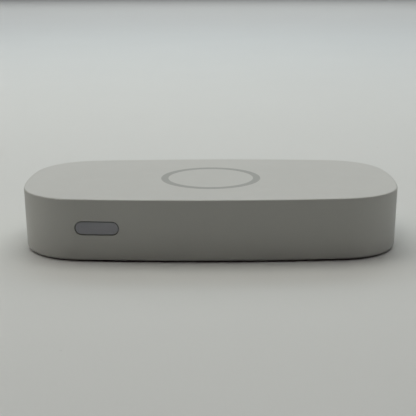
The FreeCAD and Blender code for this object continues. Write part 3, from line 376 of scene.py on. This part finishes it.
def printed_film():
    """Satin film with a brushed look and one thin printed border, blank inside it."""
    made, tree, surface, place = new_material("label_film")
    low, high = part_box("rating_label")
    along = node(tree, "Mapping", {"Vector": place, "Scale": (150.0, 7000.0, 1.0)}).outputs[0]
    brushed = noise(tree, along, 1.0, 3.0)
    tone = blended(tree, brushed, shade(LABEL_FILM, 0.92), shade(LABEL_FILM, 1.06))
    axes = node(tree, "SeparateXYZ", {0: place}).outputs
    past = []
    for axis, half in (("X", high.x), ("Y", high.y)):
        past.append(worked(tree, "SUBTRACT", worked(tree, "ABSOLUTE", axes[axis]), half))
    edge = worked(tree, "ADD", worked(tree, "MAXIMUM", *past), LABEL_BORDER_INSET)
    off_line = worked(tree, "ABSOLUTE", edge)
    line = spread(tree, off_line, 0.4 * LABEL_BORDER_LINE, 0.6 * LABEL_BORDER_LINE, 1.0, 0.0)
    tree.links.new(blended(tree, line, tone, (0.10, 0.10, 0.10, 1.0)), surface["Base Color"])
    tree.links.new(spread(tree, brushed, 0.2, 0.8, 0.32, 0.46), surface["Roughness"])
    bump = node(tree, "Bump", {"Height": brushed, "Distance": 0.002 * MM})
    tree.links.new(bump.outputs["Normal"], surface["Normal"])
    return made


def make_drawn_lines():
    """Fine lines that rolling, drawing or brushing leaves, longest where Per metre is lowest."""
    takes = {"Place": "Vector", "Per metre": "Vector"}
    tree, takes, gives = effect("drawn_lines", takes, {"Line": "Float", "Stain": "Float"})
    stretched = {0: takes["Place"], 1: takes["Per metre"]}
    along = node(tree, "VectorMath", stretched, operation="MULTIPLY").outputs["Vector"]
    tree.links.new(noise(tree, along, 1.0, 3.0, 0.6), gives["Line"])
    tree.links.new(noise(tree, takes["Place"], 240.0, 4.0, 0.6), gives["Stain"])
    return tree


drawn_lines = make_drawn_lines()


def metal(name, colour, rough, lines=(4000.0, 4000.0, 4000.0), depth=0.001 * MM, worn=None):
    """Bare or plated metal. lines is how many fine marks cross a metre of X, Y and Z, depth is
    theirs, and worn is the colour that rubbed edges show."""
    made, tree, surface, place = new_material(name, {"Metallic": 1.0})
    marks = placed(tree, drawn_lines, Place=place, Per_metre=lines)
    tone = blended(tree, marks["Line"], shade(colour, 0.88), shade(colour, 1.08))
    stain = spread(tree, marks["Stain"], 0.5, 0.75, 0.0, 0.35)
    tone = blended(tree, stain, tone, shade(colour, 0.7))
    if worn:
        rub = placed(tree, edge_rub, Place=place, Reach=0.12 * MM)["Rub"]
        tone = blended(tree, rub, tone, shade(worn, 1.0))
    tree.links.new(tone, surface["Base Color"])
    lined = spread(tree, marks["Line"], 0.2, 0.8, rough * 0.8, rough * 1.2)
    dulled = worked(tree, "ADD", lined, worked(tree, "MULTIPLY", stain, 0.3))
    tree.links.new(dulled, surface["Roughness"])
    bump = node(tree, "Bump", {"Height": marks["Line"], "Distance": depth})
    tree.links.new(bump.outputs["Normal"], surface["Normal"])
    return made


cover_grey = moulded(
    "cover_grey", COVER_GREY, rough=0.5, pit=0.3 * MM, depth=0.01 * MM,
    cloudy=0.05, flecked=0.15, rubbed=0.5,
)
foot_rubber = moulded(
    "foot_rubber", RUBBER_BLACK, rough=0.78, pit=0.12 * MM, depth=0.006 * MM,
    cloudy=0.12, flecked=0.3, rubbed=0.4,
)
screw_zinc = metal("screw_steel", ZINC_BLACK, rough=0.38, worn=WORN_ZINC)
dress(cover_grey, "bottom_cover")
dress(foot_rubber, "foot_ring")
dress(printed_film(), "rating_label")
dress(screw_zinc, "cover_screws", "board_screws")


# ---- Rear sockets -----------------------------------------------------------------------------
# Two HDMI sockets and one USB-C socket stand on the board. Each has a folded and nickel-plated
# steel shell, a black glass-filled nylon block with a tongue, and gold-flashed contacts.
NICKEL = (0.66, 0.66, 0.65)
WORN_NICKEL = (0.5, 0.49, 0.46)
SOCKET_BLACK = (0.035, 0.035, 0.037)
GOLD = (0.86, 0.66, 0.30)

socket_nickel = metal(
    "socket_steel", NICKEL, rough=0.24, lines=(400.0, 400.0, 9000.0), worn=WORN_NICKEL
)
socket_nylon = moulded(
    "socket_black", SOCKET_BLACK, rough=0.44, pit=0.08 * MM, depth=0.003 * MM,
    cloudy=0.1, flecked=0.25, rubbed=0.3,
)
contact_gold = metal("contact_gold", GOLD, rough=0.26, lines=(6000.0, 900.0, 6000.0))
for socket in ("hdmi_out", "hdmi_in", "usb_c"):
    dress(socket_nickel, socket + "_shell")
    dress(socket_nylon, socket + "_insulator")
    dress(contact_gold, socket + "_contacts")


# ---- Reset button -----------------------------------------------------------------------------
# A grey moulded cap shows in the rear wall and is kept in by its flange. It pushes the nylon
# plunger of a switch, a black block with a steel snap dome and a folded steel bracket.
BUTTON_GREY = (0.30, 0.31, 0.31)
PLUNGER_WHITE = (0.75, 0.75, 0.72)
SWITCH_BLACK = (0.04, 0.04, 0.042)
SPRING_STEEL = (0.60, 0.60, 0.58)

button_grey = moulded(
    "button_grey", BUTTON_GREY, rough=0.5, pit=0.15 * MM, depth=0.004 * MM,
    cloudy=0.03, flecked=0.1, rubbed=0.5,
)
plunger_nylon = moulded(
    "plunger_white", PLUNGER_WHITE, rough=0.42, pit=0.1 * MM, depth=0.003 * MM,
    cloudy=0.03, flecked=0.06,
)
switch_nylon = moulded(
    "switch_black", SWITCH_BLACK, rough=0.46, pit=0.1 * MM, depth=0.004 * MM,
    cloudy=0.1, flecked=0.2, rubbed=0.3,
)
spring_steel = metal("spring_steel", SPRING_STEEL, rough=0.28, lines=(700.0, 700.0, 7000.0))
dress(button_grey, "reset_button_cap")
dress(plunger_nylon, "reset_switch_plunger")
dress(switch_nylon, "reset_switch_body")
dress(spring_steel, "reset_switch_dome", "reset_switch_bracket")


# ---- Main board -------------------------------------------------------------------------------
# Glass-epoxy laminate with copper tracks and plated holes under green solder mask. The tan
# laminate shows bare along the routed edges.
TRACK_PITCH = 0.5 * MM
MASK_GREEN = (0.03, 0.16, 0.09)
MASK_OVER_COPPER = (0.06, 0.27, 0.13, 1.0)
HOLE_TIN = (0.72, 0.71, 0.66, 1.0)


def make_copper_tracks():
    """Blocks of straight tracks that run one way or the other, and small plated holes."""
    takes = {"Place": "Vector", "Pitch": "Float"}
    tree, takes, gives = effect("copper_tracks", takes, {"Track": "Float", "Hole": "Float"})
    place = takes["Place"]
    block = node(tree, "TexVoronoi", {"Vector": place, "Scale": 150.0}, distance="CHEBYCHEV")
    chance = node(tree, "SeparateColor", {0: block.outputs["Color"]}).outputs
    axes = node(tree, "SeparateXYZ", {0: place}).outputs
    lengthways = worked(tree, "GREATER_THAN", chance["Red"], 0.5)
    sides = {0: lengthways, 2: axes["X"], 3: axes["Y"]}
    across = node(tree, "Mix", sides, data_type="FLOAT").outputs[0]
    ripple = worked(tree, "PINGPONG", across, worked(tree, "MULTIPLY", takes["Pitch"], 0.5))
    stripe = worked(tree, "LESS_THAN", ripple, worked(tree, "MULTIPLY", takes["Pitch"], 0.22))
    filled = worked(tree, "GREATER_THAN", chance["Green"], 0.35)
    tree.links.new(worked(tree, "MULTIPLY", stripe, filled), gives["Track"])
    spots = node(tree, "TexVoronoi", {"Vector": place, "Scale": 420.0})
    near = spread(tree, spots.outputs["Distance"], 0.07, 0.10, 1.0, 0.0)
    chance = node(tree, "SeparateColor", {0: spots.outputs["Color"]}).outputs["Red"]
    drilled = worked(tree, "GREATER_THAN", chance, 0.6)
    tree.links.new(worked(tree, "MULTIPLY", near, drilled), gives["Hole"])
    return tree


copper_tracks = make_copper_tracks()


def solder_mask():
    """The board: mask over copper, bright holes, and laminate where the face is upright."""
    made, tree, surface, place = new_material("board_green", {"Coat Roughness": 0.15})
    flat = node(tree, "Mapping", {"Vector": place, "Scale": (1.0, 1.0, 0.0)}).outputs[0]
    copper = placed(tree, copper_tracks, Place=flat, Pitch=TRACK_PITCH)
    slow = placed(tree, clouding, Place=place, Patches_per_metre=90.0)
    facing = node(tree, "NewGeometry").outputs["Normal"]
    upward = node(tree, "SeparateXYZ", {0: facing}).outputs["Z"]
    edge = worked(tree, "LESS_THAN", worked(tree, "ABSOLUTE", upward), 0.5)
    mask = blended(tree, slow["Cloud"], shade(MASK_GREEN, 0.9), shade(MASK_GREEN, 1.1))
    mask = blended(tree, copper["Track"], mask, MASK_OVER_COPPER)
    mask = blended(tree, copper["Hole"], mask, HOLE_TIN)
    weave = noise(tree, place, 5000.0, 3.0)
    laminate = blended(tree, weave, (0.36, 0.32, 0.17, 1.0), (0.52, 0.47, 0.28, 1.0))
    tree.links.new(blended(tree, edge, mask, laminate), surface["Base Color"])
    tree.links.new(worked(tree, "MULTIPLY", copper["Hole"], 0.9), surface["Metallic"])
    tree.links.new(spread(tree, edge, 0.0, 1.0, 0.3, 0.8), surface["Roughness"])
    tree.links.new(spread(tree, edge, 0.0, 1.0, 0.5, 0.0), surface["Coat Weight"])
    bump = node(tree, "Bump", {"Height": copper["Track"], "Distance": 0.035 * MM})
    tree.links.new(bump.outputs["Normal"], surface["Normal"])
    return made


dress(solder_mask(), "main_board")


# ---- Chips ------------------------------------------------------------------------------------
# The processor, memory, storage, line drivers and power regulators are moulded in black epoxy
# with glass filler. They are soldered on, and carry no print here.
CHIP_BLACK = (0.045, 0.045, 0.048)

chip_epoxy = moulded(
    "chip_black", CHIP_BLACK, rough=0.55, pit=0.06 * MM, depth=0.004 * MM,
    cloudy=0.12, flecked=0.35, rubbed=0.25,
)
dress(chip_epoxy, "processor", "memory_chips", "storage_chip")
dress(chip_epoxy, "line_driver_chips", "power_regulators")


# ---- Coils, cans and crystals -----------------------------------------------------------------
# Power coils are pressed from iron powder. The can capacitors are drawn aluminium on a black
# base, and the clock crystals have low nickel-plated cans.
CAN_BASE_HEIGHT = 0.9 * MM
CRYSTAL_NICKEL = (0.68, 0.67, 0.62)


def pressed_iron():
    """Pressed iron powder: dark grey with bright grains and small pores."""
    made, tree, surface, place = new_material("inductor_grey")
    grain = placed(tree, mould_grain, Place=place, Pits_per_metre=1 / (0.09 * MM))
    bright = spread(tree, grain["Fleck"], 0.58, 0.70, 0.0, 1.0)
    tone = blended(tree, bright, (0.15, 0.15, 0.16, 1.0), (0.42, 0.42, 0.43, 1.0))
    tree.links.new(tone, surface["Base Color"])
    tree.links.new(worked(tree, "MULTIPLY", bright, 0.8), surface["Metallic"])
    tree.links.new(spread(tree, bright, 0.0, 1.0, 0.72, 0.4), surface["Roughness"])
    bump = node(tree, "Bump", {"Height": grain["Height"], "Distance": 0.012 * MM})
    tree.links.new(bump.outputs["Normal"], surface["Normal"])
    return made


def drawn_can():
    """Drawn aluminium above the black base that the can stands on."""
    made, tree, surface, place = new_material("can_aluminium")
    base_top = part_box("can_capacitors")[0].z + CAN_BASE_HEIGHT
    height = node(tree, "SeparateXYZ", {0: place}).outputs["Z"]
    can = worked(tree, "GREATER_THAN", height, base_top + 0.02 * MM)
    marks = placed(tree, drawn_lines, Place=place, Per_metre=(5000.0, 5000.0, 300.0))
    bright = blended(tree, marks["Line"], (0.68, 0.69, 0.70, 1.0), (0.82, 0.83, 0.84, 1.0))
    black = blended(tree, marks["Stain"], (0.03, 0.03, 0.03, 1.0), (0.06, 0.06, 0.06, 1.0))
    tree.links.new(blended(tree, can, black, bright), surface["Base Color"])
    tree.links.new(can, surface["Metallic"])
    tree.links.new(spread(tree, marks["Line"], 0.2, 0.8, 0.26, 0.4), surface["Roughness"])
    bump = node(tree, "Bump", {"Height": marks["Line"], "Distance": 0.001 * MM})
    tree.links.new(bump.outputs["Normal"], surface["Normal"])
    return made


dress(pressed_iron(), "power_inductors")
dress(drawn_can(), "can_capacitors")
crystal_steel = metal("crystal_steel", CRYSTAL_NICKEL, rough=0.34, lines=(6000.0, 500.0, 6000.0))
dress(crystal_steel, "crystals")


# ---- Chip capacitors --------------------------------------------------------------------------
# Small fired ceramic blocks. A tinned cap is dipped on to both ends of each, by which it is
# soldered to the board.
CAP_LENGTH = 0.36 * MM
CAP_PROUD = 0.02 * MM
CAP_ROUND = 0.07 * MM
CERAMIC_TAN = (0.50, 0.38, 0.24)
SOLDER_TIN = (0.74, 0.73, 0.70)


def solids_of(name):
    """The lowest and highest corner of each separate solid in a CAD node."""
    bm = bmesh.new()
    bm.from_mesh(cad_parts[name].data)
    bmesh.ops.remove_doubles(bm, verts=bm.verts, dist=0.001 * MM)
    unseen, boxes = set(bm.verts), []
    while unseen:
        solid = {unseen.pop()}
        reached = set(solid)
        while reached:
            reached = {edge.other_vert(v) for v in reached for edge in v.link_edges} - solid
            solid |= reached
        unseen -= solid
        spots = [v.co.copy() for v in solid]
        low, high = [Vector(pick(axis) for axis in zip(*spots)) for pick in (min, max)]
        boxes.append((low, high))
    bm.free()
    return sorted(boxes, key=lambda corners: tuple(corners[0]))


def capacitor_ends():
    """The tinned caps, a rounded block round each end of each capacitor."""
    bm = bmesh.new()
    for low, high in solids_of("chip_capacitors"):
        for end_x, way in ((low.x, -1), (high.x, 1)):
            size = Vector((CAP_LENGTH, high.y - low.y + 2 * CAP_PROUD, high.z - low.z + CAP_PROUD))
            middle = (low + high) / 2 + Vector((0, 0, CAP_PROUD / 2))
            middle.x = end_x + way * (CAP_PROUD - CAP_LENGTH / 2)
            corners = bmesh.ops.create_cube(bm, size=1.0)["verts"]
            bmesh.ops.scale(bm, verts=corners, vec=size)
            bmesh.ops.translate(bm, verts=corners, vec=middle)
            edges = list(dict.fromkeys(edge for corner in corners for edge in corner.link_edges))
            bmesh.ops.bevel(
                bm, geom=edges, offset=CAP_ROUND, segments=2, profile=0.5, affect="EDGES",
                material=-1,
            )
    return bm


fired_ceramic = moulded(
    "ceramic_tan", CERAMIC_TAN, rough=0.6, pit=0.05 * MM, depth=0.002 * MM,
    cloudy=0.05, flecked=0.2,
)
dress(fired_ceramic, "chip_capacitors")
solder_tin = metal("solder_tin", SOLDER_TIN, rough=0.36)
piece("capacitor_ends", capacitor_ends(), solder_tin)


# ---- Shield can and heatsink ------------------------------------------------------------------
# A tinned steel frame and lid screen the processor. Soft silicone pads carry its heat to the lid
# and on to a black anodised extrusion, which two nylon pins hold down through springs.
SHIELD_TIN = (0.70, 0.70, 0.69)
PAD_GREY = (0.45, 0.48, 0.52)
ANODISED_BLACK = (0.09, 0.09, 0.095)
BARE_ALUMINIUM = (0.5, 0.5, 0.5)
PIN_BLACK = (0.08, 0.08, 0.08)

shield_tin = metal("shield_tin", SHIELD_TIN, rough=0.3, lines=(250.0, 6000.0, 6000.0))
pad_silicone = moulded(
    "pad_grey", PAD_GREY, rough=0.7, pit=0.1 * MM, depth=0.008 * MM, cloudy=0.03, flecked=0.2
)
anodised = metal(
    "heatsink_black", ANODISED_BLACK, rough=0.42, lines=(120.0, 5000.0, 5000.0),
    depth=0.003 * MM, worn=BARE_ALUMINIUM,
)
pin_nylon = moulded(
    "pin_nylon", PIN_BLACK, rough=0.45, pit=0.1 * MM, depth=0.003 * MM,
    cloudy=0.08, flecked=0.2, rubbed=0.3,
)
dress(shield_tin, "shield_frame", "shield_lid")
dress(pad_silicone, "inner_thermal_pad", "outer_thermal_pad")
dress(anodised, "heatsink")
dress(pin_nylon, "heatsink_pins")
dress(spring_steel, "heatsink_springs")


# ---- Wireless module and aerials --------------------------------------------------------------
# The radio module has a pressed nickel-silver lid. Its two aerials are folded strips of tinned
# spring steel that stand at the ends of the board.
NICKEL_SILVER = (0.64, 0.64, 0.62)
TINNED_STEEL = (0.72, 0.71, 0.66)

module_steel = metal("module_steel", NICKEL_SILVER, rough=0.34, lines=(6000.0, 300.0, 6000.0))
antenna_steel = metal("antenna_steel", TINNED_STEEL, rough=0.3, lines=(5000.0, 300.0, 300.0))
dress(module_steel, "wireless_module")
dress(antenna_steel, "antennas")


# ---- Room -------------------------------------------------------------------------------------
# The player stands on a large sheet of pale, faintly mottled card in a dim room with a pale
# wall. Soft lights hang over it, behind it and beside it. Wide ones with narrow beams light the
# outer card to the front and both sides.
FLOOR_HALF = 4.0
CARD = (0.72, 0.735, 0.705)
ROOM_GLOW = (0.015, 0.007, 0.012, 1.0)
FAR_WALL = (0.42, 0.43, 0.42, 1.0)
OUTER_WATTS = 2.2  # of each square metre of the lights over the outer card
OUTER_CONE = 50.0


def pale_card():
    """Matt card: faint mottling, fine fibres and a few specks."""
    made, tree, surface, place = new_material("pale_card")
    mottle = noise(tree, place, 9.0, 3.0)
    fibre = noise(tree, place, 1500.0, 3.0)
    speck = spread(tree, noise(tree, place, 260.0, 2.0), 0.76, 0.80, 0.0, 0.3)
    tone = blended(tree, mottle, shade(CARD, 0.985), shade(CARD, 1.015))
    tone = blended(tree, worked(tree, "MULTIPLY", fibre, 0.04), tone, shade(CARD, 0.7))
    tree.links.new(blended(tree, speck, tone, shade(CARD, 0.5)), surface["Base Color"])
    tree.links.new(spread(tree, fibre, 0.0, 1.0, 0.75, 0.9), surface["Roughness"])
    bump = node(tree, "Bump", {"Height": fibre, "Distance": 0.02 * MM})
    tree.links.new(bump.outputs["Normal"], surface["Normal"])
    return made


def room_floor():
    """The flat card."""
    bm = bmesh.new()
    bmesh.ops.create_grid(bm, x_segments=1, y_segments=1, size=FLOOR_HALF)
    mesh = bpy.data.meshes.new("floor")
    bm.to_mesh(mesh)
    bm.free()
    mesh.materials.append(pale_card())
    obj = bpy.data.objects.new("floor", mesh)
    bpy.context.scene.collection.objects.link(obj)


def area_light(name, place, size, watts, colour=(1.0, 1.0, 1.0), cone=180.0):
    """A rectangular soft light that faces straight down, with its light held in a cone."""
    light = bpy.data.lights.new(name, "AREA")
    light.shape = "RECTANGLE"
    light.size, light.size_y = size
    light.energy = watts
    light.color = colour
    light.spread = math.radians(cone)
    obj = bpy.data.objects.new(name, light)
    obj.matrix_world = Matrix.Translation(place)
    bpy.context.scene.collection.objects.link(obj)


# each light's place, its size across and along, its watts and its colour
near_lights = {
    "over": ((-0.09, 0.15, 0.8), (1.0, 0.6), 3.8, (1.0, 0.997, 0.94)),
    "near_back": ((0, 0.8, 0.8), (1.0, 0.4), 2.33, (0.80, 0.925, 1.0)),
    "far_back": ((0, 2.0, 1.2), (3.0, 1.6), 21.0, (0.95, 0.98, 1.0)),
    "left": ((-1.2, 0.2, 0.8), (0.6, 0.8), 3.2, (1.0, 0.92, 0.92)),
    "right": ((1.2, 0.2, 0.8), (0.6, 0.8), 1.8, (0.92, 0.90, 1.0)),
}
outer_lights = {
    "front": ((0, -2.35, 1.2), (8.0, 3.2)),
    "west": ((-2.8, 1.65, 1.2), (2.8, 4.8)),
    "east": ((2.8, 1.65, 1.2), (2.8, 4.8)),
}
room_floor()
for side, (place, size, watts, colour) in near_lights.items():
    area_light(side + "_light", place, size, watts, colour)
for side, (place, size) in outer_lights.items():
    watts = OUTER_WATTS * size[0] * size[1]
    area_light(side + "_floor_light", place, size, watts, cone=OUTER_CONE)
room = bpy.data.worlds.new("room")
room.use_nodes = True
room.node_tree.nodes.clear()
seen = node(room.node_tree, "LightPath").outputs["Is Camera Ray"]
tone = blended(room.node_tree, seen, ROOM_GLOW, FAR_WALL)
glow = node(room.node_tree, "Background", {"Color": tone})
node(room.node_tree, "OutputWorld", {"Surface": glow.outputs["Background"]})
bpy.context.scene.world = room
bpy.context.scene.view_settings.view_transform = "Standard"


# ---- Camera -----------------------------------------------------------------------------------
# It looks at the middle of the player from a little above, square on to the window's wall, and
# hangs a hair off level.
IMAGE_SIZE = 416
CAMERA_SHIFT = (-2.8 / IMAGE_SIZE, -1.35 / IMAGE_SIZE)
CAMERA_TARGET = Vector((0, 0, 9.0 * MM))
CAMERA_DISTANCE = 278.5 * MM
CAMERA_RISE = math.radians(14.3)
CAMERA_ROLL = math.radians(-0.18)

lens = bpy.data.cameras.new("camera")
lens.sensor_width = 36.0
lens.lens = 77.7
lens.shift_x, lens.shift_y = CAMERA_SHIFT
lens.clip_start = 1 * MM
camera = bpy.data.objects.new("camera", lens)
away = Vector((0, -math.cos(CAMERA_RISE), math.sin(CAMERA_RISE))) * CAMERA_DISTANCE
aim = Matrix.Rotation(math.pi / 2 - CAMERA_RISE, 4, "X") @ Matrix.Rotation(CAMERA_ROLL, 4, "Z")
camera.matrix_world = Matrix.Translation(CAMERA_TARGET + away) @ aim
bpy.context.scene.collection.objects.link(camera)
bpy.context.scene.camera = camera
